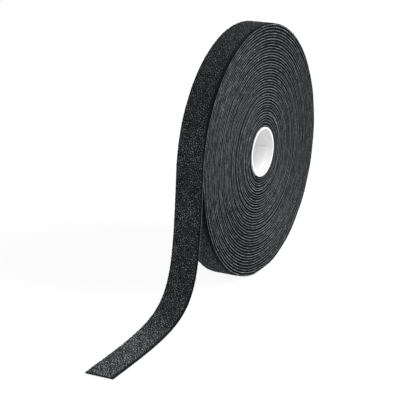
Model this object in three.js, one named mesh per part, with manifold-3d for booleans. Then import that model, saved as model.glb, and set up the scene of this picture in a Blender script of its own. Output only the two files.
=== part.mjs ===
// A roll of two-sided hook and loop tape on a white core, with its loose end drawn off onto
// the table. Millimetres, +Z up. The roll's axis runs along Y and the origin lies on the
// table under that axis. The side that the photograph shows looks along -Y, and the loose
// end runs off towards -X. Inside the file every outline is drawn in the X and Z of the
// roll's own axis, and one group lifts the whole roll to its height.
import * as THREE from 'three';
import { mergeVertices } from 'three/addons/utils/BufferGeometryUtils.js';
import Module from 'manifold-3d';

// Tape: a loop strip outside and a hook strip inside, back to back
const tapeWidth = 16;
const loopStripThickness = 0.9;
const hookStripThickness = 0.5;
const stripClearance = 0.3;

// Winding: the loops stand for more and thinner turns, over the same build
const windingEndRadius = 72.4;
const windingLoops = 23;
const stepsPerLoop = 24;
const leavingAngle = THREE.MathUtils.degToRad(172.5);
const standingFlatDepth = 0.5;

// Core: a moulded tube with a wider bore at each end and a keyway for the winding spindle
const coreRadius = 14;
const coreProud = 0.2;
const coreEndWall = 1.1;
const coreMiddleWall = 1.85;
const collarDepth = 3.5;
const coreEdge = 0.2;
const coreSides = 48;
const keywayWidth = 3.4;
const keywayDepth = 0.9;
const keywayRise = 0.6;

// Adhesive pad that holds the first stretch of tape on the core
const padThickness = 0.3;
const padWidth = 12;
const padSteps = 3;
const padClearance = 0.3;

// Loose end: hangs from the roll, swings out in one curve and lies on the table
const tipReach = 166;
const hangHandle = 74;
const layHandle = 88;
const upperStretch = 40;
const bendStretch = 48;
const upperSteps = 6;
const bendSteps = 12;
const endSteps = 8;

// Places where the loose end folds
const peelGap = 0.3;
const foldGap = 0.3;
const foldLimit = THREE.MathUtils.degToRad(45);

// Every cutting tool runs past the faces that it opens by this much
const overrun = 1;

// Sizes that follow
const tapeThickness = loopStripThickness + stripClearance + hookStripThickness;
const hookStripDepth = loopStripThickness + stripClearance;
const collarBoreRadius = coreRadius - coreEndWall;
const middleBoreRadius = coreRadius - coreMiddleWall;
const padInnerRadius = coreRadius + padClearance;
const padOuterRadius = padInnerRadius + padThickness;
const windingStartRadius = padOuterRadius + padClearance + tapeThickness;
const turnPitch = (windingEndRadius - windingStartRadius) / windingLoops;
const step = (2 * Math.PI) / stepsPerLoop;
const totalSteps = windingLoops * stepsPerLoop;
const foldSlope = Math.tan(foldLimit / 2);

const wasm = await Module();
wasm.setup();

// Finishes
const loopPile = new THREE.MeshStandardMaterial({ color: 0x24282a, roughness: 0.95, metalness: 0 });
const hookWeb = new THREE.MeshStandardMaterial({ color: 0x15171a, roughness: 0.7, metalness: 0 });
const whitePlastic = new THREE.MeshStandardMaterial({ color: 0xeceef0, roughness: 0.4, metalness: 0 });
const paleGlue = new THREE.MeshStandardMaterial({ color: 0xd9d3c0, roughness: 0.6, metalness: 0 });

function mesh(name, geometry, material) {
  const piece = new THREE.Mesh(geometry, material);
  piece.name = name;
  return piece;
}

// A closed geometry as a solid that can be cut
function toSolid(geometry) {
  const bare = geometry.clone();
  bare.deleteAttribute('normal');
  bare.deleteAttribute('uv');
  const merged = mergeVertices(bare);
  return new wasm.Manifold(new wasm.Mesh({
    numProp: 3,
    vertProperties: Float32Array.from(merged.attributes.position.array),
    triVerts: Uint32Array.from(merged.index.array),
  }));
}

function toGeometry(solid) {
  const cut = solid.getMesh();
  const geometry = new THREE.BufferGeometry();
  geometry.setAttribute('position', new THREE.BufferAttribute(cut.vertProperties, 3));
  geometry.setIndex(new THREE.BufferAttribute(cut.triVerts, 1));
  geometry.computeVertexNormals();
  return geometry;
}

// A place on the tape: a point on its loop side, the way the tape runs on from there, and
// how much a depth is stretched so that the flats between the places keep their thickness
function place(x, z, heading, stretch = 1) {
  return { x, z, heading, stretch };
}

// The point at a depth under the loop side, towards the roll or the table, moved along the
// tape by a slip
function under(spot, depth, slip = 0) {
  const forward = new THREE.Vector2(Math.cos(spot.heading), Math.sin(spot.heading));
  const inward = new THREE.Vector2(-forward.y, forward.x);
  return new THREE.Vector2(spot.x, spot.z)
    .addScaledVector(inward, depth * spot.stretch)
    .addScaledVector(forward, slip);
}

// A strip of even thickness along places: four corners at each place, walls between the
// places and a cap at each end. The slips slope the two end faces.
function stripGeometry(spots, top, thickness, width, startSlip = () => 0, endSlip = () => 0) {
  const last = spots.length - 1;
  const corners = spots.flatMap((spot, i) => {
    const slip = (depth) => (i === 0 ? startSlip(depth) : 0) + (i === last ? endSlip(depth) : 0);
    const upper = under(spot, top, slip(top));
    const lower = under(spot, top + thickness, slip(top + thickness));
    return [
      upper.x, -width / 2, upper.y,
      upper.x, width / 2, upper.y,
      lower.x, width / 2, lower.y,
      lower.x, -width / 2, lower.y,
    ];
  });
  const faces = [0, 2, 1, 0, 3, 2];
  for (let i = 0; i < last; i += 1) {
    for (let side = 0; side < 4; side += 1) {
      const next = (side + 1) % 4;
      const here = 4 * i;
      const ahead = here + 4;
      faces.push(here + side, ahead + next, ahead + side);
      faces.push(here + side, here + next, ahead + next);
    }
  }
  const cap = 4 * last;
  faces.push(cap, cap + 1, cap + 2, cap, cap + 2, cap + 3);
  const geometry = new THREE.BufferGeometry();
  geometry.setAttribute('position', new THREE.Float32BufferAttribute(corners, 3));
  geometry.setIndex(faces);
  geometry.computeVertexNormals();
  return geometry;
}

// Places round the axis, one for each step back from the place where the tape leaves the
// roll. The corners stand out a little, so that the flats touch the true round.
function roundPlaces(radiusAt, firstStep, lastStep) {
  const swell = 1 / Math.cos(step / 2);
  return Array.from({ length: lastStep - firstStep + 1 }, (_, i) => {
    const k = firstStep + i;
    const angle = leavingAngle - (totalSteps - k) * step;
    const radius = radiusAt(k) * swell;
    return place(radius * Math.cos(angle), radius * Math.sin(angle), angle + Math.PI / 2, swell);
  });
}

const windingPlaces = roundPlaces(
  (k) => windingEndRadius - (turnPitch * (totalSteps - k)) / stepsPerLoop,
  0,
  totalSteps,
);

// The least gap between one side of a turn and another side of the turns before it,
// measured from corner to corner and at the middle of the flats
function leastGap(spots, depth, facingDepth) {
  const middles = (points) => points.slice(1).map((p, i) => p.clone().add(points[i]).divideScalar(2));
  const facing = (d) => {
    const points = spots.map((spot) => under(spot, d));
    return [points, middles(points)];
  };
  const near = facing(depth);
  const far = facing(facingDepth);
  let least = Infinity;
  near.forEach((row, kind) => row.forEach((point, i) => {
    for (let j = 0; j <= i - stepsPerLoop / 2; j += 1) {
      least = Math.min(least, point.distanceTo(far[kind][j]));
    }
  }));
  return least;
}

const turnGap = leastGap(windingPlaces, tapeThickness, 0);
const loopStripGap = leastGap(windingPlaces, loopStripThickness, 0);
const hookStripGap = leastGap(windingPlaces, tapeThickness, hookStripDepth);
console.log(`least gap between two turns of the tape: ${turnGap.toFixed(3)} mm`);
console.log(`least gap of the loop strip to itself: ${loopStripGap.toFixed(3)} mm`);
console.log(`least gap of the hook strip to itself: ${hookStripGap.toFixed(3)} mm`);

// The roll stands on a small flat, pressed into its lowest stretch
const axisHeight = -Math.min(...windingPlaces.map((spot) => spot.z)) - standingFlatDepth;

function standingCut(solid) {
  const reach = 2 * windingEndRadius;
  const slab = new THREE.BoxGeometry(reach, tapeWidth + 2 * overrun, reach);
  slab.translate(0, 0, -axisHeight - reach / 2);
  return solid.subtract(toSolid(slab));
}

function loopWinding() {
  const strip = stripGeometry(windingPlaces, 0, loopStripThickness, tapeWidth);
  return toGeometry(standingCut(toSolid(strip)));
}

function hookWinding() {
  return stripGeometry(windingPlaces, hookStripDepth, hookStripThickness, tapeWidth);
}

// A short stretch of the round between the core and the first turn
function adhesivePad() {
  const spots = roundPlaces(() => padOuterRadius, 0, padSteps);
  return stripGeometry(spots, 0, padThickness, padWidth);
}

// The core is turned from its wall's outline, and the keyway is cut along its middle bore
function coreTube() {
  const face = tapeWidth / 2 + coreProud;
  const shoulder = face - collarDepth;
  const outline = [
    [coreRadius - coreEdge, -face],
    [coreRadius, -face + coreEdge],
    [coreRadius, face - coreEdge],
    [coreRadius - coreEdge, face],
    [collarBoreRadius + coreEdge, face],
    [collarBoreRadius, face - coreEdge],
    [collarBoreRadius, shoulder],
    [middleBoreRadius, shoulder],
    [middleBoreRadius, -shoulder],
    [collarBoreRadius, -shoulder],
    [collarBoreRadius, -face + coreEdge],
    [collarBoreRadius + coreEdge, -face],
    [coreRadius - coreEdge, -face],
  ].map(([radius, y]) => new THREE.Vector2(radius, y));
  const wall = toSolid(new THREE.LatheGeometry(outline, coreSides));
  const keyway = new THREE.BoxGeometry(keywayDepth + overrun, 2 * shoulder, keywayWidth);
  keyway.translate(middleBoreRadius + (keywayDepth - overrun) / 2, 0, keywayRise);
  return toGeometry(wall.subtract(toSolid(keyway)));
}

// The loose end's loop side: it leaves along the roll's tangent and comes down level on
// the table
const leavingPlace = windingPlaces[totalSteps];
const leaving = new THREE.Vector2(leavingPlace.x, leavingPlace.z);
const tangent = new THREE.Vector2(Math.cos(leavingPlace.heading), Math.sin(leavingPlace.heading));
const tip = new THREE.Vector2(-tipReach, tapeThickness - axisHeight);
const looseCurve = new THREE.CubicBezierCurve(
  leaving,
  leaving.clone().addScaledVector(tangent, hangHandle),
  tip.clone().add(new THREE.Vector2(layHandle, 0)),
  tip,
);
const looseLength = looseCurve.getLength();

function loosePlace(distance) {
  const share = distance / looseLength;
  const point = looseCurve.getPointAt(share);
  const ahead = looseCurve.getTangentAt(share);
  return place(point.x, point.y, Math.atan2(ahead.y, ahead.x));
}

// The two strips of one stretch of the loose end. A folding end face slopes back from the
// middle of the tape's thickness, so that the stretch can fold either way.
function stretch(name, from, to, steps, foldsAtStart, foldsAtEnd) {
  const spots = Array.from(
    { length: steps + 1 },
    (_, i) => loosePlace(from + ((to - from) * i) / steps),
  );
  const slope = (depth) => foldSlope * Math.abs(depth - tapeThickness / 2);
  const startSlip = (depth) => (foldsAtStart ? slope(depth) : 0);
  const endSlip = (depth) => (foldsAtEnd ? -slope(depth) : 0);
  const strip = (top, thickness) => (
    stripGeometry(spots, top, thickness, tapeWidth, startSlip, endSlip)
  );
  return [
    mesh(`loop_tape_${name}`, strip(0, loopStripThickness), loopPile),
    mesh(`hook_tape_${name}`, strip(hookStripDepth, hookStripThickness), hookWeb),
  ];
}

const firstFold = upperStretch;
const secondFold = upperStretch + bendStretch;
console.log(`loose end: ${looseLength.toFixed(1)} mm long`);

// Where the loose end folds
const foldPoints = {
  peel: under(loosePlace(peelGap / 2), 0),
  upper: under(loosePlace(firstFold), tapeThickness / 2),
  lower: under(loosePlace(secondFold), tapeThickness / 2),
};
Object.entries(foldPoints).forEach(([name, point]) => {
  console.log(`${name} fold at x ${point.x.toFixed(3)}, z ${(point.y + axisHeight).toFixed(3)}`);
});
console.log(`axis height ${axisHeight.toFixed(3)}, turn pitch ${turnPitch.toFixed(3)}`);

const roll = new THREE.Group();
roll.position.z = axisHeight;
roll.add(
  mesh('core_tube', coreTube(), whitePlastic),
  mesh('start_adhesive_pad', adhesivePad(), paleGlue),
  mesh('loop_tape_winding', loopWinding(), loopPile),
  mesh('hook_tape_winding', hookWinding(), hookWeb),
  ...stretch('upper', peelGap, firstFold - foldGap / 2, upperSteps, false, true),
  ...stretch('bend', firstFold + foldGap / 2, secondFold - foldGap / 2, bendSteps, true, true),
  ...stretch('end', secondFold + foldGap / 2, looseLength, endSteps, true, false),
);

export default roll;
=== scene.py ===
"""A roll of black hook and loop tape on a white core, with its loose end drawn off onto the
table. Sizes are in millimetres from the middle of the roll's axis: X and Z across the roll,
Y along the axis. They become metres in the row's frame when a mesh is made. A distance along
the tape is zero where it leaves the roll, less than zero on the roll and more on the loose end."""

import math

import bpy
import numpy as np
from mathutils import Matrix, Vector


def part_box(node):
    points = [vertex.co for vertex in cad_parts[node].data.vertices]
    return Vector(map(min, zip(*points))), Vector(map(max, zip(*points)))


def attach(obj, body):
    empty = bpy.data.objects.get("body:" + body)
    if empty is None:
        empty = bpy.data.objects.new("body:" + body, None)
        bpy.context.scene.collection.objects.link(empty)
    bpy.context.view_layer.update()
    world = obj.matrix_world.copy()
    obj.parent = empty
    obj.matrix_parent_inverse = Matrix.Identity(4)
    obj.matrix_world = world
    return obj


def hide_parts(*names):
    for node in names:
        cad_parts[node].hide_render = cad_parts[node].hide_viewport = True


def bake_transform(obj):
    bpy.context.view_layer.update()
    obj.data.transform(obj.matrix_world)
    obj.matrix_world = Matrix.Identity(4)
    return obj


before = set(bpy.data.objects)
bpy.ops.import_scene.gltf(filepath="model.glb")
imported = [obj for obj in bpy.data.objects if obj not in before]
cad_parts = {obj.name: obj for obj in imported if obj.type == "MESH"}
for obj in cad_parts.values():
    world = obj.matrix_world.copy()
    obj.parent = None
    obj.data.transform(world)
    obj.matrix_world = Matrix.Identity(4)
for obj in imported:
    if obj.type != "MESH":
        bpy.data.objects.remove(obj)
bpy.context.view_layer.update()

MM = 0.001
FULL_TURN = 2 * math.pi
core_low, core_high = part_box("core_tube")
AXIS_HEIGHT = (core_low[2] + core_high[2]) / 2 / MM

# Tape, with its depths counted from the tips of the loops towards the hooks
TAPE_WIDTH = 16.0
HALF_WIDTH = TAPE_WIDTH / 2
PILE_HEIGHT = 0.55
GROUND_THICKNESS = 0.40
GROUND_TOP = PILE_HEIGHT
GROUND_BOTTOM = GROUND_TOP + GROUND_THICKNESS
TAPE_DEPTH = 1.7

# Winding
END_RADIUS = 72.0
TURN_PITCH = 1.49
LOOSER_SHARE = 0.07
LEAVING_ANGLE = math.radians(174)
FIRST_TURN_RADIUS = 15.66
PRESS_FADE = 3.0
CLIMB_SHARE = 0.14
CLIMB_FADE = 5.0

# Slow wanders along the tape, each a swing, a wavelength and a seed. Those of the radius and of
# the sideways sway fade out over the last stretch on the roll.
STEADY_STRETCH = 60.0
RADIUS_WANDERS = ((0.06, 410.0, 3),)
SWAY_WANDERS = ((0.10, 330.0, 5), (0.04, 23.0, 6))
TONE_WANDERS = ((0.12, 8.0, 61), (0.07, 95.0, 63), (0.07, 640.0, 62))

# Places where a turn lies slack: angle of the place, radius there, dip and reach along the turn
SLACK_PLACES = (
    (math.radians(217), 41.3, 0.32, 7.0),
    (math.radians(196), 55.0, 0.22, 9.0),
    (math.radians(38), 47.0, 0.20, 8.0),
    (math.radians(152), 63.0, 0.20, 12.0),
)

# Tone of the woven edges, partly their own grey and partly a painted highlight: its even level, its
# least, and how far painted shade makes it fall at an edge's corners
EVEN_TONE = 0.57
LEAST_TONE = 0.1
CORNER_PAINTED_SHADE = 0.95
# A paler stretch of edge: the place's angle and radius, its reach along the turn and its gain
PALE_PLACE = (math.radians(138), 61.5)
PALE_REACH = 11.0
PALE_GAIN = 0.45
# Painted shade: the side turned from the loose end is darker by up to this loss, reached this far along
# X
FAR_SIDE_PAINTED_SHADE = 0.20
FAR_SIDE_REACH = 60.0
# Painted shade darkens the edge of the loose end between these places, by up to this loss
PAINTED_EDGE_SHADE_STRETCH = (42.0, 80.0)
PAINTED_EDGE_SHADE_LOSS = 0.9

# Loose end
HANG_HANDLE = 74.1
LAY_HANDLE = 85.2
TIP_REACH = 165.7
LIFT_START = -4.0
PEEL_ZONE = (-3.7, 0.7)
UPPER_FOLD = 40.0
LOWER_FOLD = 88.0
FOLD_REACH = 12.0
UPPER_CUT = 20.0
BEND_CUT = 64.0
PILE_END_GAP = 0.3
LOOPS_END_GAP = 0.6
HOOKS_END_GAP = 0.5

# Pile: the grid's spacing, the gap at its sides, and the noise that makes its relief
PILE_SPACING = 0.3
PILE_SIDE_GAP = 0.08
PILE_SEED = 21
TUFT_GRAIN = 1.2
CURL_GRAIN = 2.3
CLUMP_GRAIN = 5.0
CURL_SHARE = 0.42
CLUMP_SHARE = 0.06
# How far in from its edges the pile rounds off and darkens with painted shade: at the back, and at the
# front on the roll, on the hanging part and on the lying part, with the stretches between these
BACK_MARGIN = 0.5
WOUND_MARGIN = 3.0
HANGING_MARGIN = 1.0
LYING_MARGIN = 1.7
NARROWING_STRETCH = (-40.0, 0.0)
WIDENING_STRETCH = (50.0, 90.0)
# Least shares of the pile's height: under the lifted tape, in the pits and at the edges. Then its least
# brightness at the edges, which is painted shade, and the share of height lost where it is melted.
COVERED_HEIGHT = 0.35
PIT_HEIGHT = 0.40
EDGE_HEIGHT = 0.75
EDGE_SHADE = 0.20
MELTED_LOSS = 0.4
# The pile rises out from under the lifted tape between these distances from the leaving place
COVERED_STRETCH = (-1.0, 4.0)
# The distances over which the melted line at the tip and the melted corner fade out
MELTED_LINE = (0.3, 0.9)
MELTED_LINE_SHARE = 0.8
MELTED_CORNER = (2.4, 3.6)
# Stretches of pile darkened by painted shade, each a middle, a reach and a loss, and the stretch
# lightened by painted light, with its gain
PAINTED_SHADE_PLACES = ((-108.0, 38.0, 0.44), (-42.0, 24.0, 0.28))
PAINTED_LIGHT_STRETCH = (80.0, 112.0)
PAINTED_LIGHT_GAIN = 1.15

# Steps along the tape in the wound ground, the wound gap and the loose ground, and the most
# loops on a square millimetre of the rim and of the loose end
WOUND_STEP = 1.2
GAP_STEP = 1.0
LOOSE_STEP = 0.25
RIM_LOOPS = 1.5
LOOSE_LOOPS = 2.8

# Core
CORE_RADIUS = 14.0
CORE_HALF_LENGTH = 8.2
COLLAR_BORE_RADIUS = CORE_RADIUS - 1.1
COLLAR_DEPTH = 3.5
COLLAR_DRAFT = 0.40
MIDDLE_BORE_RADIUS = CORE_RADIUS - 1.85
CORE_EDGE = 0.25
SHOULDER_ROUND = 0.05
SHOULDER_SLOPE = 0.90
KEYWAY_WIDTH = 3.4
KEYWAY_DEPTH = 0.9
KEYWAY_RISE = 0.6

# Adhesive film
FILM_GAP = 0.02
FILM_THICKNESS = 0.09
FILM_HALF_WIDTH = 6.0

# Camera, measured from the middle of the roll's axis
VIEW_AZIMUTH = math.radians(-61.97)
VIEW_ELEVATION = math.radians(18.59)
VIEW_ROLL = math.radians(-0.56)
VIEW_DISTANCE = 837.8
VIEW_OFFSET_RIGHT = 28.0
VIEW_OFFSET_UP = 28.02
SENSOR = 36.0
LENS = 134.5

# Light: the world's strength off the background, the place along X that the lamps face, and
# each lamp's name, direction from there, distance and size in metres, and power
WORLD_STRENGTH = 0.22
LAMPS_FACE = -40.0
LAMPS = (
    ("key", (0.22, -0.80, 0.48), 1.3, 0.9, 19.8),
    ("side", (-0.80, -0.50, 0.35), 1.3, 0.9, 1.8),
    ("back", (-0.55, 0.75, 0.30), 1.3, 0.9, 2.2),
)

# Floor: half its span in metres, its grey, and the white that the camera sees mixed into it
FLOOR_SPAN = 3.0
FLOOR_GREY = 0.82
FLOOR_WHITE = 1.15
FLOOR_WHITE_SHARE = 0.8


def angle_back(length):
    """Angle turned back from the leaving place over a length of tape: it solves length =
    end radius times angle - pitch times angle squared over two full turns."""
    share = TURN_PITCH / FULL_TURN
    return (END_RADIUS - np.sqrt(END_RADIUS ** 2 - 2 * share * length)) / share


def length_back(angle):
    """Length of tape wound over an angle back from the leaving place: end radius times angle,
    less pitch times angle squared over two full turns."""
    return END_RADIUS * angle - TURN_PITCH / FULL_TURN * angle ** 2 / 2


WOUND_ANGLE = (END_RADIUS - FIRST_TURN_RADIUS) / TURN_PITCH * FULL_TURN


def smooth_step(value, start, end):
    """Three times the square less twice the cube of the share of the way from start to end."""
    share = np.clip((value - start) / (end - start), 0, 1)
    return share ** 2 * (3 - 2 * share)


def bell(value, middle, reach):
    """E to the power of minus the square of the distance from the middle over the reach."""
    return np.exp(-((value - middle) / reach) ** 2)


def between(least, share):
    """The least plus the share times what is left up to one."""
    return least + (1 - least) * share


def build_at(turns):
    """The radius after so many turns from the core. Near the core the tape lies close for most
    of a turn and climbs over the turn below at its end, by a smooth step, and further out this
    fades into an even climb. Its pitch grows evenly from the core to the rim."""
    whole = np.floor(turns)
    part = turns - whole
    stepped = smooth_step(part, 1 - CLIMB_SHARE, 1.0)
    turns = whole + part + np.exp(-turns / CLIMB_FADE) * (stepped - part)
    share = turns * FULL_TURN / WOUND_ANGLE
    grown = share * (1 - LOOSER_SHARE + LOOSER_SHARE * share)
    return FIRST_TURN_RADIUS + (END_RADIUS - FIRST_TURN_RADIUS) * grown


WOUND_LENGTH = length_back(WOUND_ANGLE)
LAST_TURN_LENGTH = length_back(FULL_TURN)

# The loose end's loop side is one cubic Bezier curve, walked by its arc length
leaving_heading = LEAVING_ANGLE + math.pi / 2
leaving_place = END_RADIUS * np.array((math.cos(LEAVING_ANGLE), math.sin(LEAVING_ANGLE)))
leaving_way = np.array((math.cos(leaving_heading), math.sin(leaving_heading)))
tip_place = np.array((-TIP_REACH, TAPE_DEPTH - AXIS_HEIGHT))
loose_handles = np.array((
    leaving_place,
    leaving_place + HANG_HANDLE * leaving_way,
    tip_place + np.array((LAY_HANDLE, 0.0)),
    tip_place,
))


def loose_curve(t):
    """Places and directions on the cubic Bezier curve, from its Bernstein polynomials."""
    t = np.asarray(t)[..., None]
    a, b, c, d = loose_handles
    place = (1 - t) ** 3 * a + 3 * (1 - t) ** 2 * t * b + 3 * (1 - t) * t ** 2 * c + t ** 3 * d
    way = 3 * ((1 - t) ** 2 * (b - a) + 2 * (1 - t) * t * (c - b) + t ** 2 * (d - c))
    return place, way


walk_shares = np.linspace(0, 1, 4001)
walk_places, _ = loose_curve(walk_shares)
walk_steps = np.linalg.norm(np.diff(walk_places, axis=0), axis=1)
walk_lengths = np.concatenate(((0.0,), np.cumsum(walk_steps)))
LOOSE_LENGTH = float(walk_lengths[-1])


def wander(along, wavelength, seed, waves=7):
    """A slow wander with about unit swing: the mean of sines whose wavelengths lie round the
    given one and whose phases are drawn by the seed, times the root of twice their number."""
    draw = np.random.default_rng(seed)
    lengths = wavelength * draw.uniform(0.55, 1.8, waves)
    phases = draw.uniform(0, FULL_TURN, waves)
    total = sum(np.sin(FULL_TURN * along / l + p) for l, p in zip(lengths, phases))
    return total * math.sqrt(2 / waves)


def wanders(along, table):
    """The sum of the wanders in a table of swings, wavelengths and seeds."""
    return sum(swing * wander(along, wavelength, seed) for swing, wavelength, seed in table)


def nearest_turn(place_angle, place_radius):
    """Where along the tape the turn nearest to a place on the side face passes it: the turns
    from the rim are the depth over the pitch, rounded to end at the place's angle."""
    turns = (END_RADIUS - place_radius) / TURN_PITCH
    wound = (LEAVING_ANGLE - place_angle) % FULL_TURN
    wound = wound + FULL_TURN * round(turns - wound / FULL_TURN)
    return -length_back(wound)


slack_dips = [(nearest_turn(*place[:2]), *place[2:]) for place in SLACK_PLACES]
pale_middle = nearest_turn(*PALE_PLACE)


def tape_line(along):
    """The loop side of the tape and its inward direction at a distance along it. On the roll it
    is a spiral, radius times cosine and sine of the angle, and ahead of it the loose curve,
    whose inward direction is its heading turned by a right angle."""
    wound = angle_back(-np.minimum(along, 0.0))
    angle = LEAVING_ANGLE - wound
    radius = build_at((WOUND_ANGLE - wound) / FULL_TURN)
    fade = np.clip(-along / STEADY_STRETCH, 0, 1)
    radius = radius + fade * wanders(along, RADIUS_WANDERS)
    for centre, dip, reach in slack_dips:
        radius = radius - dip * bell(along, centre, reach)
    spiral_out = np.stack((np.cos(angle), np.sin(angle)), axis=-1)
    spiral = radius[..., None] * spiral_out
    place, way = loose_curve(np.interp(along, walk_lengths, walk_shares))
    way = way / np.linalg.norm(way, axis=-1, keepdims=True)
    loose_in = np.stack((-way[..., 1], way[..., 0]), axis=-1)
    loose = (np.asarray(along) > 0)[..., None]
    return np.where(loose, place, spiral), np.where(loose, loose_in, -spiral_out)


def pressed(x, z):
    """The roll's weight flattens its foot: where the round would reach below the table, each
    point rises by that overreach times e to the power of minus its height over the fade."""
    foot_radius = END_RADIUS - TURN_PITCH * (LEAVING_ANGLE + math.pi / 2) / FULL_TURN
    reach = np.sqrt(np.maximum(foot_radius ** 2 - x ** 2, 0.0))
    over = np.maximum(reach - AXIS_HEIGHT, 0.0)
    height = np.maximum(z + reach, 0.0)
    return z + over * np.exp(-height / PRESS_FADE)


def on_tape(along, across, depth):
    """Points of the roll from tape coordinates: the tape's line, plus the depth times its inward
    direction, with the place across the width as Y. The wound part sways sideways a little."""
    along, across, depth = np.broadcast_arrays(along, across, depth)
    place, inward = tape_line(along)
    spot = place + depth[..., None] * inward
    fade = np.clip(-along / STEADY_STRETCH, 0, 1)
    sway = fade * wanders(along, SWAY_WANDERS)
    z = np.where(along <= 0, pressed(spot[..., 0], spot[..., 1]), spot[..., 1])
    return np.stack((spot[..., 0], across + sway, z), axis=-1)


def middle_at(along):
    """The middle of the tape's thickness at a distance along it, in metres."""
    spot = on_tape(np.array((along,)), 0.0, TAPE_DEPTH / 2)[0]
    return tuple((spot + np.array((0, 0, AXIS_HEIGHT))) * MM)


def band_noise(shape, spacing, wavelength, seed):
    """Even noise with one grain size: white noise whose spectrum is multiplied by a bell round
    the frequency of the wavelength, scaled to unit deviation."""
    draw = np.random.default_rng(seed)
    spectrum = np.fft.rfft2(draw.standard_normal(shape))
    rows = np.fft.fftfreq(shape[0], spacing)[:, None]
    columns = np.fft.rfftfreq(shape[1], spacing)[None, :]
    frequency = np.hypot(rows, columns) * wavelength
    noise = np.fft.irfft2(spectrum * bell(frequency, 1, 0.35), s=shape)
    return noise / noise.std()


def steps_along(start, end, spacing):
    """Even steps from start to end, as near to the spacing as a whole number of them allows."""
    return np.linspace(start, end, max(2, int(round((end - start) / spacing)) + 1))


def outward(points, faces):
    """The faces with their corners reversed if the solid's signed volume, the sum of the corners'
    triple products, comes out negative."""
    volume = 0.0
    for block in faces:
        a, b, c = (points[block[:, k]] for k in range(3))
        volume += np.einsum("ij,ij->", a, np.cross(b, c))
        if block.shape[1] == 4:
            a, b, c = (points[block[:, k]] for k in (0, 2, 3))
            volume += np.einsum("ij,ij->", a, np.cross(b, c))
    return faces if volume > 0 else [block[:, ::-1] for block in faces]


def piece(name, points, faces, finish, values=None, uv=None, smooth=True):
    """A mesh object at the origin from points in mm and blocks of faces with equal corners.
    values are numbers for each point, by name, and uv is a pair of numbers for each point."""
    mesh = bpy.data.meshes.new(name)
    corners = np.concatenate([block.ravel() for block in faces]).astype(np.int32)
    sizes = np.concatenate([np.full(len(block), block.shape[1]) for block in faces])
    starts = np.concatenate(((0,), np.cumsum(sizes)[:-1])).astype(np.int32)
    mesh.vertices.add(len(points))
    placed = (points + np.array((0.0, 0.0, AXIS_HEIGHT))) * MM
    mesh.vertices.foreach_set("co", placed.ravel().astype(np.float32))
    mesh.loops.add(len(corners))
    mesh.loops.foreach_set("vertex_index", corners)
    mesh.polygons.add(len(sizes))
    mesh.polygons.foreach_set("loop_start", starts)
    mesh.polygons.foreach_set("use_smooth", np.full(len(sizes), smooth))
    mesh.update(calc_edges=True)
    for key, numbers in (values or {}).items():
        attribute = mesh.attributes.new(key, "FLOAT", "POINT")
        attribute.data.foreach_set("value", np.ravel(numbers).astype(np.float32))
    if uv is not None:
        layer = mesh.uv_layers.new(name="tape")
        layer.data.foreach_set("uv", uv[corners].ravel().astype(np.float32))
    made = bpy.data.objects.new(name, mesh)
    bpy.context.scene.collection.objects.link(made)
    mesh.materials.append(finish)
    return made


def round_faces(index):
    """Quads between the rows of a closed profile's point numbers, with fans over the end rows."""
    beside = np.roll(index, -1, axis=1)
    walls = np.stack((index[:-1], index[1:], beside[1:], beside[:-1]), axis=-1).reshape(-1, 4)
    fan = np.arange(1, index.shape[1] - 1)
    first = np.stack((index[0, fan], index[0, fan + 1], np.full(len(fan), index[0, 0])), axis=-1)
    last = np.stack((index[-1, fan + 1], index[-1, fan], np.full(len(fan), index[-1, 0])), axis=-1)
    return [walls, first, last]


def swept(name, points, finish, **details):
    """A solid from a grid of points, one row for each place of a closed profile."""
    index = np.arange(points.shape[0] * points.shape[1]).reshape(points.shape[:2])
    points = points.reshape(-1, 3)
    return piece(name, points, outward(points, round_faces(index)), finish, **details)


def ground_tone(along):
    """How pale the ground's edge is, partly a painted highlight: an even level with wanders along the
    tape and a bell over its palest stretch, less by a smooth step of painted shade where the loose end
    lies down."""
    tone = EVEN_TONE + wanders(along, TONE_WANDERS) + PALE_GAIN * bell(along, pale_middle, PALE_REACH)
    return np.clip(tone, LEAST_TONE, 1.0) * (1 - PAINTED_EDGE_SHADE_LOSS * smooth_step(along, *PAINTED_EDGE_SHADE_STRETCH))


def ground_strip(name, start, end, spacing, finish, edge_steps=5):
    """The woven ground: a flat strip whose two edges are half ellipses, cosine across by sine deep, and
    jitter along the tape. Their tone, partly a painted highlight, falls with painted shade from the
    middle of the thickness to its corners as the square of the cosine, and by a smooth step of painted
    shade over the roll's far side."""
    along = steps_along(start, end, spacing)[:, None]
    bend = np.radians(np.linspace(-90, 90, edge_steps))
    bulge = 0.06
    jitter = 0.045
    middle = (GROUND_TOP + GROUND_BOTTOM) / 2
    half = GROUND_THICKNESS / 2
    draw = np.random.default_rng(11)
    ragged = [jitter * draw.standard_normal((len(along), 1)) for _ in range(2)]
    front = -(HALF_WIDTH - bulge) - bulge * np.cos(bend) + ragged[0]
    back = (HALF_WIDTH - bulge) + bulge * np.cos(bend[::-1]) + ragged[1]
    across = np.hstack((front, back))
    depth = middle + half * np.concatenate((np.sin(bend), np.sin(bend[::-1])))[None, :]
    points = on_tape(along, across, depth)
    uv = np.stack(np.broadcast_arrays(along, across), axis=-1).reshape(-1, 2)
    # Painted shade falls towards each edge's corners, beside the dark gap, leaving a painted highlight
    # along the middle
    profile = 1 - CORNER_PAINTED_SHADE + CORNER_PAINTED_SHADE * np.cos(bend) ** 2
    # Painted shade, darker over the roll's far side along X
    far_side_painted_shade = 1 - FAR_SIDE_PAINTED_SHADE * smooth_step(points[..., 0], 0.0, FAR_SIDE_REACH)
    tone = ground_tone(along) * far_side_painted_shade * np.concatenate((profile, profile[::-1]))[None, :]
    return swept(name, points, finish, values={"tone": tone}, uv=uv)


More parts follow.
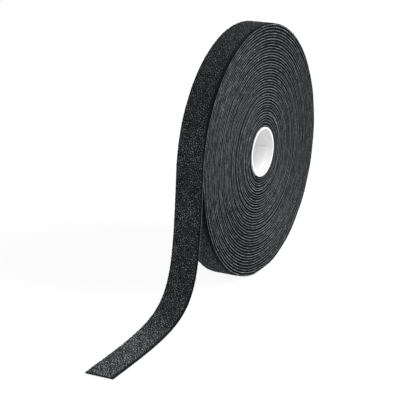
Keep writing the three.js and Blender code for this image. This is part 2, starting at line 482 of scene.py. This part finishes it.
def gap_strip(name, start, end, spacing, finish):
    """What fills the gap to the next turn: hooks caught in loops, as a strip set back from the
    tape's edges by a recess that is least at mid depth, plus a random share that only adds."""
    along = steps_along(start, end, spacing)[:, None]
    lap = 0.04
    jitter = 0.12
    recess = np.array((0.60, 0.45, 0.60))
    widest = TURN_PITCH * (1 + LOOSER_SHARE) - GROUND_THICKNESS
    depth_front = GROUND_BOTTOM - lap + np.array((0.0, 0.5, 1.0)) * (widest + 2 * lap)
    draw = np.random.default_rng(12)
    ragged = [np.abs(jitter * draw.standard_normal((len(along), 3))) for _ in range(2)]
    front = -HALF_WIDTH + recess + ragged[0]
    back = HALF_WIDTH - recess[::-1] - ragged[1]
    depth = np.concatenate((depth_front, depth_front[::-1]))[None, :]
    return swept(name, on_tape(along, np.hstack((front, back)), depth), finish)


class PileField:
    """The loop pile on a grid along and across the tape. Its relief adds three even noises, a
    fine one, the ridges of a middling one (one minus 1.5 times its size) and a little of a
    coarse one. Its 4th percentile becomes 0 and its 96th 1, and it is cut off there."""

    def __init__(self, start, end):
        self.along = steps_along(start, end, PILE_SPACING)
        self.edge = HALF_WIDTH - PILE_SIDE_GAP
        self.across = steps_along(-self.edge, self.edge, PILE_SPACING)
        shape = (len(self.along), len(self.across))
        tufts = band_noise(shape, PILE_SPACING, TUFT_GRAIN, PILE_SEED)
        curls = 1 - 1.5 * np.abs(band_noise(shape, PILE_SPACING, CURL_GRAIN, PILE_SEED + 1))
        clumps = band_noise(shape, PILE_SPACING, CLUMP_GRAIN, PILE_SEED + 2)
        mixed = tufts + CURL_SHARE * curls + CLUMP_SHARE * clumps
        low, high = np.percentile(mixed, (4, 96))
        relief = np.clip((mixed - low) / (high - low), 0, 1)
        self.melt = self.melted(end)
        self.relief = relief * (1 - self.melt) + 0.5 * self.melt
        inset = self.inset()
        # Painted shade darkens the pile's colour towards its edges
        self.shade = between(EDGE_SHADE, inset)
        bare = start - LIFT_START
        uncovered = smooth_step(self.along[:, None], *(bare + step for step in COVERED_STRETCH))
        full = PILE_HEIGHT * between(COVERED_HEIGHT, uncovered) * (1 - MELTED_LOSS * self.melt)
        self.height = full * between(PIT_HEIGHT, self.relief) * between(EDGE_HEIGHT, inset)

    def inset(self):
        """From 0 at the pile's edges to 1 past their margins, by a smooth step. The front margin
        narrows towards the leaving place and widens again where the loose end lies."""
        along = self.along[:, None]
        narrowed = smooth_step(along, *NARROWING_STRETCH)
        widened = smooth_step(along, *WIDENING_STRETCH)
        front = WOUND_MARGIN + (HANGING_MARGIN - WOUND_MARGIN) * narrowed
        front = front + (LYING_MARGIN - HANGING_MARGIN) * widened
        margin = np.where(self.across[None, :] < 0, front, BACK_MARGIN)
        return smooth_step(self.edge - np.abs(self.across)[None, :], 0.0, margin)

    def melted(self, end):
        """Where the hot cut has melted the pile: a narrow line at the end, and a patch at the far
        corner that is longer along the tape than across it, each fading out by a smooth step."""
        back = end - self.along[:, None]
        beside = self.edge - self.across[None, :]
        line = 1 - smooth_step(back, *MELTED_LINE)
        corner = 1 - smooth_step(np.hypot(back * 0.75, beside * 1.15), *MELTED_CORNER)
        return np.maximum(MELTED_LINE_SHARE * line, corner)

    def nap(self, along):
        """Painted light and shade on the pile along the tape: darker by a bell of painted shade over
        each of its places on the roll, and lighter by a smooth step of painted light where the loose end
        lies on the table."""
        along = np.asarray(along)
        loss = sum(share * bell(along, middle, reach) for middle, reach, share in PAINTED_SHADE_PLACES)
        return 1.0 - loss + PAINTED_LIGHT_GAIN * smooth_step(along, *PAINTED_LIGHT_STRETCH)

    def at(self, values, along, across):
        """The grid's values at points, weighted between the four grid places round each."""
        i = (along - self.along[0]) / (self.along[1] - self.along[0])
        j = (across - self.across[0]) / (self.across[1] - self.across[0])
        i = np.clip(i, 0, len(self.along) - 1.001)
        j = np.clip(j, 0, len(self.across) - 1.001)
        i0, j0 = i.astype(int), j.astype(int)
        fi, fj = i - i0, j - j0
        low = values[i0, j0] * (1 - fj) + values[i0, j0 + 1] * fj
        high = values[i0 + 1, j0] * (1 - fj) + values[i0 + 1, j0 + 1] * fj
        return low * (1 - fi) + high * fi

    def row_at(self, along):
        """The grid's row nearest to a distance along the tape."""
        return int(np.argmin(np.abs(self.along - along)))


def pile_mat(name, field, start, end, finish):
    """The mass of loops between two places along the tape: a surface at the height of the relief
    over the ground, closed by a floor inside the ground."""
    rows = slice(field.row_at(start), field.row_at(end) + 1)
    along = field.along[rows][:, None]
    count = field.relief[rows].shape
    rooted = 0.15
    top = on_tape(along, field.across[None, :], GROUND_TOP - field.height[rows])
    sides = np.array((-field.edge, field.edge))[None, :]
    floor = on_tape(along, sides, np.full((count[0], 2), GROUND_TOP + rooted))
    index = np.arange(count[0] * count[1]).reshape(count)
    below = count[0] * count[1] + np.arange(count[0] * 2).reshape(-1, 2)
    points = np.vstack((top.reshape(-1, 3), floor.reshape(-1, 3)))
    faces = outward(points, round_faces(np.hstack((index, below[:, ::-1]))))
    # Painted shade and highlight: the pile's colour is darker in the pits and at the edges and lighter
    # on the ridges
    lit = (field.relief[rows] * field.shade[rows]).ravel()
    nap = field.nap(np.broadcast_to(along, count)).ravel()
    unseen = np.zeros(2 * count[0])
    values = {"pile": np.concatenate((lit, unseen)), "nap": np.concatenate((nap, unseen))}
    return piece(name, points, faces, finish, values=values)


def fibres(name, centres, sideways, radius, finish, values, sides=3):
    """Closed thin tubes along curves given in tape coordinates. Round each centre the ring is
    cosine times the curve's normal plus sine times its sideways direction, at the radius."""
    count, steps = centres.shape[:2]
    way = np.gradient(centres, axis=1)
    way /= np.linalg.norm(way, axis=-1, keepdims=True)
    normal = np.cross(way, sideways[:, None, :])
    normal /= np.linalg.norm(normal, axis=-1, keepdims=True)
    turn = np.arange(sides) * FULL_TURN / sides
    ring = (np.cos(turn)[:, None] * normal[:, :, None, :]
            + np.sin(turn)[:, None] * sideways[:, None, None, :])
    thick = np.broadcast_to(radius, (count, steps))[:, :, None, None]
    tape = centres[:, :, None, :] + thick * ring
    points = on_tape(tape[..., 0], tape[..., 1], tape[..., 2]).reshape(-1, 3)
    index = np.arange(count * steps * sides).reshape(count, steps, sides)
    beside = np.roll(index, -1, axis=2)
    walls = np.stack((index[:, :-1], index[:, 1:], beside[:, 1:], beside[:, :-1]), axis=-1)
    faces = outward(points, [walls.reshape(-1, 4), index[:, 0, ::-1], index[:, -1, :]])
    spread = {key: np.repeat(np.broadcast_to(numbers, (count, steps)), sides, axis=1)
              for key, numbers in values.items()}
    return piece(name, points, faces, finish, values=spread)


def pile_loops(name, field, start, end, density, finish, seed, steps=6):
    """Curled loops of yarn on the pile. Each one is an arc whose heading turns evenly along it, at a
    random place that favours the ridges of the relief, and its height over the relief follows half a
    sine, so that both its ends dive into the pile. A few glint: each loop has a painted highlight along
    its middle, strongest on those, which are also thicker."""
    draw = np.random.default_rng(seed)
    lengths, bends, rises = (1.1, 2.4), (1.2, 4.2), (0.04, 0.16)
    radii, glint_radius = (0.05, 0.085), 0.045
    side_gap, root, over_tips = 0.15, 0.10, 0.05
    pit_chance, most_melted = 0.06, 0.3
    tries = int((end - start) * TAPE_WIDTH * density * 2)
    along = draw.uniform(start, end, tries)
    across = draw.uniform(-field.edge + side_gap, field.edge - side_gap, tries)
    relief = field.at(field.relief, along, across)
    keep = draw.uniform(0, 1, tries) < between(pit_chance, relief ** 1.5)
    keep &= field.at(field.melt, along, across) < most_melted
    along, across = along[keep][:tries // 2], across[keep][:tries // 2]
    relief = relief[keep][:tries // 2]
    count = len(along)
    share = np.linspace(0, 1, steps)
    arch = np.sin(share * math.pi)[None, :]
    length = draw.uniform(*lengths, count)[:, None]
    bend = draw.uniform(*bends, count)[:, None] * draw.choice((-1, 1), count)[:, None]
    heading = draw.uniform(0, FULL_TURN, count)[:, None] + bend * (share - 0.5)[None, :]
    way = np.stack((np.cos(heading), np.sin(heading)), axis=-1) * (length / (steps - 1))[..., None]
    route = np.cumsum(way, axis=1)
    route = route - route.mean(axis=1, keepdims=True)
    centres = np.zeros((count, steps, 3))
    centres[..., 0] = np.clip(along[:, None] + route[..., 0], start, end)
    centres[..., 1] = np.clip(across[:, None] + route[..., 1], -field.edge, field.edge)
    relief_height = field.at(field.height, centres[..., 0], centres[..., 1])
    rise = draw.uniform(*rises, count)[:, None]
    lift = relief_height - root + (rise + root) * arch
    centres[..., 2] = GROUND_TOP - np.minimum(lift, PILE_HEIGHT + over_tips)
    # Painted shade: loops in the pits and at the pile's edges are darker
    shade = field.at(field.shade, along, across) * between(0.35, relief)
    # Painted highlight along each loop's middle, strongest on the few that glint
    glint = draw.uniform(0, 1, count) ** 4
    crest_highlight = arch * between(0.30, glint)[:, None]
    tint = shade[:, None] * (0.26 + 1.1 * crest_highlight)
    middle = heading[:, steps // 2]
    sideways = np.stack((-np.sin(middle), np.cos(middle), np.zeros(count)), axis=-1)
    radius = (draw.uniform(*radii, count) + glint_radius * glint)[:, None] * between(0.6, arch)
    values = {"pile": tint, "nap": field.nap(along)[:, None]}
    return fibres(name, centres, sideways, radius, finish, values)


def tape_hooks(name, start, end, finish, seed):
    """Moulded hooks on the tape's back in staggered rows: each stem rises off the ground and
    its tip curls over in half a circle, cosine along by sine high, two rows one way and the
    next two the other way."""
    draw = np.random.default_rng(seed)
    row_gap, hook_gap, side_gap = 1.3, 1.1, 1.0
    stray_along, stray_across = 0.12, 0.1
    stem, curl, root = 0.46, 0.13, 0.05
    rows = np.arange(start + row_gap / 2, end, row_gap)
    places = np.arange(-HALF_WIDTH + side_gap, HALF_WIDTH - side_gap + 0.1, hook_gap)
    number = np.arange(len(rows))[:, None]
    along, across = np.broadcast_arrays(rows[:, None], places[None, :])
    across = across + hook_gap / 2 * (number % 2) - hook_gap / 4
    way = np.broadcast_to(1 - 2 * (number // 2 % 2), along.shape).ravel()
    along = along.ravel() + draw.uniform(-stray_along, stray_along, along.size)
    across = across.ravel() + draw.uniform(-stray_across, stray_across, across.size)
    count = len(along)
    turn = np.radians(np.array((180.0, 135.0, 90.0, 30.0, -30.0)))
    run = np.concatenate(((0.0,), curl * (1 + np.cos(turn))))
    rise = np.concatenate(((-root,), stem + curl * np.sin(turn)))
    centres = np.zeros((count, len(run), 3))
    centres[..., 0] = along[:, None] + way[:, None] * run
    centres[..., 1] = across[:, None]
    centres[..., 2] = GROUND_BOTTOM + rise
    sideways = np.broadcast_to(np.array((0.0, 1.0, 0.0)), (count, 3))
    radius = np.array((0.085, 0.075, 0.07, 0.065, 0.06, 0.035))
    return fibres(name, centres, sideways, radius, finish, {"pile": np.linspace(0.4, 0.9, len(run))})


class Wire:
    """An output socket. Arithmetic on it adds Math nodes to the same tree."""

    def __init__(self, shade, socket):
        self.shade = shade
        self.socket = socket

    def maths(self, operation, *values):
        """A Math node on numbers and wires, in the order of its sockets."""
        return self.shade.node("ShaderNodeMath", {"operation": operation}, dict(enumerate(values)))

    def __add__(self, other):
        return self.maths("ADD", self, other)

    def __radd__(self, other):
        return self.maths("ADD", other, self)

    def __sub__(self, other):
        return self.maths("SUBTRACT", self, other)

    def __rsub__(self, other):
        return self.maths("SUBTRACT", other, self)

    def __mul__(self, other):
        return self.maths("MULTIPLY", self, other)

    def __rmul__(self, other):
        return self.maths("MULTIPLY", other, self)

    def sine(self):
        """The sine of the number, taken in radians."""
        return self.maths("SINE", self)

    def clamped(self):
        """The number held between 0 and 1."""
        return self.maths("MINIMUM", self.maths("MAXIMUM", self, 0.0), 1.0)


class Shade:
    """The node tree of a material or of the world, being built from empty."""

    def __init__(self, owner):
        owner.use_nodes = True
        self.owner = owner
        self.tree = owner.node_tree
        self.tree.nodes.clear()

    def node(self, kind, settings=None, inputs=None, output=0):
        """Adds any node: its settings first, then the values or wires of its sockets."""
        made = self.tree.nodes.new(kind)
        for key, value in (settings or {}).items():
            if key == "stops":
                ramp = made.color_ramp.elements
                for place, _ in value[1:-1]:
                    ramp.new(place)
                for element, (place, colour) in zip(ramp, value):
                    element.position = place
                    element.color = (*colour, 1.0)
            else:
                setattr(made, key, value)
        for key, value in (inputs or {}).items():
            if isinstance(value, Wire):
                self.tree.links.new(value.socket, made.inputs[key])
            else:
                made.inputs[key].default_value = value
        return Wire(self, made.outputs[output]) if len(made.outputs) else None

    def attribute(self, name):
        """A number stored for each point of the mesh."""
        return self.node("ShaderNodeAttribute", {"attribute_name": name}, output=2)

    def noise(self, scale, detail):
        """Even noise on Object coordinates."""
        place = self.node("ShaderNodeTexCoord", output=3)
        return self.node("ShaderNodeTexNoise", None, {"Vector": place, "Scale": scale, "Detail": detail})

    def ramp(self, factor, *stops):
        """A colour from a number, by places and colours in rising order."""
        return self.node("ShaderNodeValToRGB", {"stops": stops}, {"Fac": factor})

    def bump(self, height, strength, distance):
        """A normal from a height, with its distance in metres."""
        inputs = {"Height": height, "Strength": strength, "Distance": distance}
        return self.node("ShaderNodeBump", None, inputs)

    def principled(self, **inputs):
        """Ends the material with a Principled shader, with its sockets named by keyword."""
        named = {key.replace("_", " ").title().replace("Ior", "IOR"): value
                 for key, value in inputs.items()}
        self.end("ShaderNodeOutputMaterial", self.node("ShaderNodeBsdfPrincipled", None, named))
        return self.owner

    def end(self, kind, shader):
        """Ends the tree: the shader goes to a new output node."""
        self.node(kind, None, {"Surface": shader})


def grey(value, tint=(1.0, 1.0, 1.0)):
    """A colour of one level in all three parts, times a tint."""
    return tuple(value * t for t in tint)


# Tints of the blacks, from the coolest to the nearly neutral one
COOL = (0.84, 1.0, 1.05)
HALF_COOL = (0.91, 1.0, 1.03)
NEUTRAL = (0.97, 1.0, 1.02)


def pile_finish():
    """Black brushed loops: dark in the pits with painted shade, greyer on the tips with a painted
    highlight, with fine fibre streaks, scaled by painted light and shade along the tape.
    """
    shade = Shade(bpy.data.materials.new("black_loop_pile"))
    streaks = shade.noise(3500.0, 2.0)
    colour = shade.ramp(
        (shade.attribute("pile") + 0.35 * (streaks - 0.5)).clamped(),
        (0.0, grey(0.0025, COOL)),
        (0.35, grey(0.0075, COOL)),
        (0.70, grey(0.070, COOL)),
        (1.0, grey(0.330, NEUTRAL)),
    )
    nap = shade.attribute("nap")
    colour_with_painted_light = shade.node("ShaderNodeVectorMath", {"operation": "SCALE"}, {0: colour, "Scale": nap})
    return shade.principled(
        base_color=colour_with_painted_light, roughness=0.85, normal=shade.bump(streaks, 0.5, 0.0001),
        specular_ior_level=0.12, sheen_weight=0.02, sheen_roughness=0.5,
    )


def ground_finish():
    """Black woven nylon: fine ribs of the weft across the tape and of the warp along it, as sines of the
    tape's own coordinates, under a mottled tone whose paler part is partly a painted highlight on the
    nylon edges."""
    shade = Shade(bpy.data.materials.new("black_woven_ground"))
    place = shade.node("ShaderNodeUVMap", {"uv_map": "tape"})
    parts = shade.node("ShaderNodeSeparateXYZ", None, {"Vector": place}).socket.node
    along = Wire(shade, parts.outputs["X"])
    across = Wire(shade, parts.outputs["Y"])
    weft_pitch, warp_pitch = 0.62, 0.5
    weft = (along * (FULL_TURN / weft_pitch)).sine()
    warp = (across * (FULL_TURN / warp_pitch)).sine()
    weave = weft * 0.5 + warp * 0.5
    mottle = shade.noise(650.0, 2.0)
    colour = shade.ramp(
        (shade.attribute("tone") * (1.0 + 2.6 * (mottle - 0.5))).clamped(),
        (0.0, grey(0.004, COOL)),
        (0.5, grey(0.146, HALF_COOL)),
        (1.0, grey(0.345, NEUTRAL)),
    )
    return shade.principled(
        base_color=colour, roughness=0.6, normal=shade.bump(weave, 0.6, 0.00008),
        specular_ior_level=0.15, sheen_weight=0.02, sheen_roughness=0.4,
    )


def gap_finish():
    """The dark tangle of hooks and loops between two turns, black nylon darkened further by painted
    shade for the recess between them.
    """
    shade = Shade(bpy.data.materials.new("black_hooks_in_loops_with_painted_shade"))
    tangle = shade.noise(2200.0, 3.0)
    # Painted shade: the near black stands in for the shade down in the gap
    colour = shade.ramp(tangle, (0.35, grey(0.004, COOL)), (0.75, grey(0.017, COOL)))
    return shade.principled(
        base_color=colour, roughness=0.9, normal=shade.bump(tangle, 0.8, 0.0002),
        specular_ior_level=0.03,
    )


def hook_finish():
    """Hooks of black nylon monofilament, a little glossy and a little mottled."""
    shade = Shade(bpy.data.materials.new("black_nylon_hooks"))
    colour = shade.ramp(shade.noise(700.0, 1.0), (0.3, grey(0.020, COOL)), (0.7, grey(0.050, COOL)))
    return shade.principled(base_color=colour, roughness=0.38, specular_ior_level=0.5)


def core_finish():
    """White moulded plastic with a satin skin that is a little uneven."""
    shade = Shade(bpy.data.materials.new("white_core_plastic"))
    clouds = shade.noise(90.0, 3.0)
    grain = shade.noise(1600.0, 2.0)
    colour = shade.ramp(clouds, (0.3, (0.89, 0.893, 0.895)), (0.7, (0.93, 0.93, 0.93)))
    return shade.principled(
        base_color=colour, roughness=0.50 + 0.12 * grain, normal=shade.bump(grain, 0.15, 0.00005),
    )


def adhesive_finish():
    """Pale adhesive film, cloudy and a little glossy."""
    shade = Shade(bpy.data.materials.new("pale_adhesive_film"))
    clouds = shade.noise(400.0, 3.0)
    colour = shade.ramp(clouds, (0.3, (0.58, 0.53, 0.40)), (0.7, (0.70, 0.66, 0.54)))
    return shade.principled(
        base_color=colour, roughness=0.4, normal=shade.bump(clouds, 0.3, 0.0001),
    )


def core_tube(finish):
    """The core: its wall's outline turned round the axis. In the keyway the radius grows to the
    keyway's flat floor, which is that floor's distance over the cosine of the angle."""
    face = CORE_HALF_LENGTH
    shoulder = face - COLLAR_DEPTH
    soft = CORE_EDGE * (1 - math.sqrt(0.5))
    drafted = COLLAR_BORE_RADIUS - COLLAR_DRAFT
    rounding = SHOULDER_ROUND
    slope_end = shoulder - rounding - SHOULDER_SLOPE
    half = [
        (CORE_RADIUS, 0.0),
        (CORE_RADIUS, face - CORE_EDGE),
        (CORE_RADIUS - soft, face - soft),
        (CORE_RADIUS - CORE_EDGE, face),
        (COLLAR_BORE_RADIUS + CORE_EDGE, face),
        (COLLAR_BORE_RADIUS + soft, face - soft),
        (COLLAR_BORE_RADIUS, face - CORE_EDGE),
        (drafted, shoulder + 2 * rounding),
        (drafted - rounding, shoulder - rounding),
        (MIDDLE_BORE_RADIUS + rounding, slope_end),
        (MIDDLE_BORE_RADIUS, slope_end - 4 * rounding),
        (MIDDLE_BORE_RADIUS, 0.0),
    ]
    outline = np.array(half + [(radius, -y) for radius, y in half[-2:0:-1]])
    key_low = math.asin((KEYWAY_RISE - KEYWAY_WIDTH / 2) / MIDDLE_BORE_RADIUS)
    key_high = math.asin((KEYWAY_RISE + KEYWAY_WIDTH / 2) / MIDDLE_BORE_RADIUS)
    lip = 0.002
    inside = np.linspace(key_low + lip, key_high - lip, 9)
    around = np.linspace(key_high + lip, key_low - lip + FULL_TURN, 151)
    angle = np.concatenate((inside, around))
    in_key = np.concatenate((np.ones(len(inside), bool), np.zeros(len(around), bool)))
    radius = np.repeat(outline[None, :, 0], len(angle), axis=0)
    y = np.repeat(outline[None, :, 1], len(angle), axis=0)
    floor = (MIDDLE_BORE_RADIUS + KEYWAY_DEPTH) / np.cos(angle)
    floor = np.minimum(floor, COLLAR_BORE_RADIUS + 0.02)[:, None]
    bore = ((outline[:, 0] < CORE_RADIUS - CORE_EDGE) & (np.abs(outline[:, 1]) < shoulder))[None, :]
    radius = np.where(in_key[:, None] & bore, np.maximum(radius, floor), radius)
    points = np.stack((radius * np.cos(angle)[:, None], y, radius * np.sin(angle)[:, None]), axis=-1)
    index = np.arange(radius.size).reshape(radius.shape)
    ahead = np.roll(index, -1, axis=0)
    corners = (index, ahead, np.roll(ahead, -1, axis=1), np.roll(index, -1, axis=1))
    walls = np.stack(corners, axis=-1).reshape(-1, 4)
    points = points.reshape(-1, 3)
    made = piece("core", points, outward(points, [walls]), finish)
    sharp = made.modifiers.new("edges", "EDGE_SPLIT")
    sharp.split_angle = math.radians(35)
    return made


def pad_film(finish):
    """The adhesive film on the core: an arc of even thickness, the angle stepping evenly over
    an eighth of a turn from the tape's inner end."""
    angle = LEAVING_ANGLE - WOUND_ANGLE + np.linspace(0, FULL_TURN / 8, 25)
    inner = CORE_RADIUS + FILM_GAP
    outer = inner + FILM_THICKNESS
    radius = np.array((outer, outer, inner, inner))[None, :]
    across = FILM_HALF_WIDTH * np.array((-1, 1, 1, -1))[None, :]
    x = radius * np.cos(angle)[:, None]
    z = radius * np.sin(angle)[:, None]
    points = np.stack(np.broadcast_arrays(x, across, z), axis=-1)
    return swept("adhesive_film", points, finish, smooth=False)


def camera():
    """The camera at the photograph's angle. Back points from the roll to the camera, and right
    and up are turned about it by the roll of the picture."""
    centre = Vector((0, 0, AXIS_HEIGHT)) * MM
    level = math.cos(VIEW_ELEVATION)
    back = Vector((
        math.sin(VIEW_AZIMUTH) * level,
        -math.cos(VIEW_AZIMUTH) * level,
        math.sin(VIEW_ELEVATION),
    ))
    flat_right = Vector((math.cos(VIEW_AZIMUTH), math.sin(VIEW_AZIMUTH), 0))
    flat_up = back.cross(flat_right)
    right = math.cos(VIEW_ROLL) * flat_right + math.sin(VIEW_ROLL) * flat_up
    up = math.cos(VIEW_ROLL) * flat_up - math.sin(VIEW_ROLL) * flat_right
    data = bpy.data.cameras.new("photo_view")
    data.lens = LENS
    data.sensor_width = SENSOR
    data.clip_start = 0.01
    data.clip_end = 20.0
    made = bpy.data.objects.new("photo_view", data)
    spot = centre - VIEW_OFFSET_RIGHT * MM * right - VIEW_OFFSET_UP * MM * up + VIEW_DISTANCE * MM * back
    turned = Matrix((right, up, back)).transposed().to_4x4()
    made.matrix_world = Matrix.Translation(spot) @ turned
    bpy.context.scene.collection.objects.link(made)
    bpy.context.scene.camera = made


def lamp(name, direction, distance, size, watts):
    """A square area lamp at a distance in a direction from the roll, turned to face it."""
    data = bpy.data.lights.new(name, "AREA")
    data.size = size
    data.energy = watts
    made = bpy.data.objects.new(name, data)
    towards = Vector(direction).normalized()
    made.location = Vector((LAMPS_FACE, 0, AXIS_HEIGHT)) * MM + distance * towards
    made.rotation_euler = towards.to_track_quat("Z", "Y").to_euler()
    bpy.context.scene.collection.objects.link(made)


def seen_ray(shade):
    """One for rays that show the background: from the camera, off gloss or through glass."""
    kinds = [shade.node("ShaderNodeLightPath", output=name)
             for name in ("Is Camera Ray", "Is Glossy Ray", "Is Transmission Ray")]
    return (kinds[0] + kinds[1] + kinds[2]).clamped()


def studio():
    """A pale floor that fades to white, a dim white surround and three soft lamps."""
    world = bpy.data.worlds.new("studio")
    bpy.context.scene.world = world
    shade = Shade(world)
    strength = WORLD_STRENGTH + (1 - WORLD_STRENGTH) * seen_ray(shade)
    light = shade.node("ShaderNodeBackground", None, {"Color": (1, 1, 1, 1), "Strength": strength})
    shade.end("ShaderNodeOutputWorld", light)
    corners = [(FLOOR_SPAN * x, FLOOR_SPAN * y, 0) for x, y in ((-1, -1), (1, -1), (1, 1), (-1, 1))]
    mesh = bpy.data.meshes.new("floor")
    mesh.from_pydata(corners, [], [(0, 1, 2, 3)])
    floor = bpy.data.objects.new("floor", mesh)
    bpy.context.scene.collection.objects.link(floor)
    cloth = Shade(bpy.data.materials.new("floor_white"))
    matt = cloth.node("ShaderNodeBsdfDiffuse", None, {"Color": (*grey(FLOOR_GREY), 1)})
    bright = cloth.node("ShaderNodeEmission", None, {"Color": (1, 1, 1, 1), "Strength": FLOOR_WHITE})
    share = FLOOR_WHITE_SHARE * seen_ray(cloth)
    mixed = cloth.node("ShaderNodeMixShader", None, {"Fac": share, 1: matt, 2: bright})
    cloth.end("ShaderNodeOutputMaterial", mixed)
    mesh.materials.append(cloth.owner)
    for light in LAMPS:
        lamp(*light)


camera()
studio()

pile = pile_finish()
woven = ground_finish()
tangle = gap_finish()
nylon = hook_finish()

# The wound tape, in two halves so that each piece stays small
HALFWAY = -WOUND_LENGTH * 0.5
for name, start, end in (("inner", -WOUND_LENGTH, HALFWAY), ("outer", HALFWAY, LIFT_START)):
    ground = ground_strip(f"wound_ground_{name}", start, end, WOUND_STEP, woven)
    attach(ground, "roll")
    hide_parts("loop_tape_winding")
    gap = gap_strip(f"wound_hooks_{name}", start, end, GAP_STEP, tangle)
    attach(gap, "roll")
    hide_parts("hook_tape_winding")

# The pile that shows on the outermost turn
field = PileField(LIFT_START - LAST_TURN_LENGTH, LOOSE_LENGTH - PILE_END_GAP)
rim_start = field.along[0]
rim_half = -LAST_TURN_LENGTH / 2
rim_pieces = (
    pile_mat("rim_pile", field, rim_start, LIFT_START, pile),
    pile_loops("rim_loops_far", field, rim_start, rim_half, RIM_LOOPS, pile, 31, steps=5),
    pile_loops("rim_loops_near", field, rim_half, LIFT_START, RIM_LOOPS, pile, 32, steps=5),
)
for made in rim_pieces:
    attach(made, "roll")
    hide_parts("loop_tape_winding")
(HALFWAY + WOUND_LENGTH) * MM
(LIFT_START - HALFWAY) * MM

# The loose end's stretches: name, start and end, the bodies and the zone of the bend, the parts
# of the tape that it stands for, how it is held and what it rests on
stretches = (
    ("upper", LIFT_START, UPPER_CUT, ("roll", "tail_upper"), PEEL_ZONE, ("winding", "upper"),
     "hung", "wound_ground_outer"),
    ("bend", UPPER_CUT, BEND_CUT, ("tail_upper", "tail_bend"),
     (UPPER_FOLD - FOLD_REACH, UPPER_FOLD + FOLD_REACH), ("upper", "bend"),
     "hung", "loose_ground_upper"),
    ("end", BEND_CUT, LOOSE_LENGTH, ("tail_bend", "tail_end"),
     (LOWER_FOLD - FOLD_REACH, LOWER_FOLD + FOLD_REACH), ("bend", "end"),
     "laid", "floor"),
)
for number, (name, start, end, bodies, zone, nodes, held, rest) in enumerate(stretches):
    zone_start, zone_end = middle_at(zone[0]), middle_at(zone[1])
    loops_end = min(end, LOOSE_LENGTH - LOOPS_END_GAP)
    hooks_end = min(end, LOOSE_LENGTH - HOOKS_END_GAP)
    ground = ground_strip(f"loose_ground_{name}", start, end, LOOSE_STEP, woven, edge_steps=7)
    mat = pile_mat(f"loose_pile_{name}", field, start, end, pile)
    loops = pile_loops(f"loose_loops_{name}", field, start, loops_end, LOOSE_LOOPS, pile, 41 + number)
    hooks = tape_hooks(f"loose_hooks_{name}", start, hooks_end, nylon, 51 + number)
    for made in (ground, mat, loops, hooks):
        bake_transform(made)
        side = "hook" if made is hooks else "loop"
        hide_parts(*(f"{side}_tape_{node}" for node in nodes))
    (end - start) * MM

core = core_tube(core_finish())
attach(core, "roll")
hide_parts("core_tube")

film = pad_film(adhesive_finish())
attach(film, "roll")
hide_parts("start_adhesive_pad")

bpy.context.scene.view_settings.view_transform = "Standard"
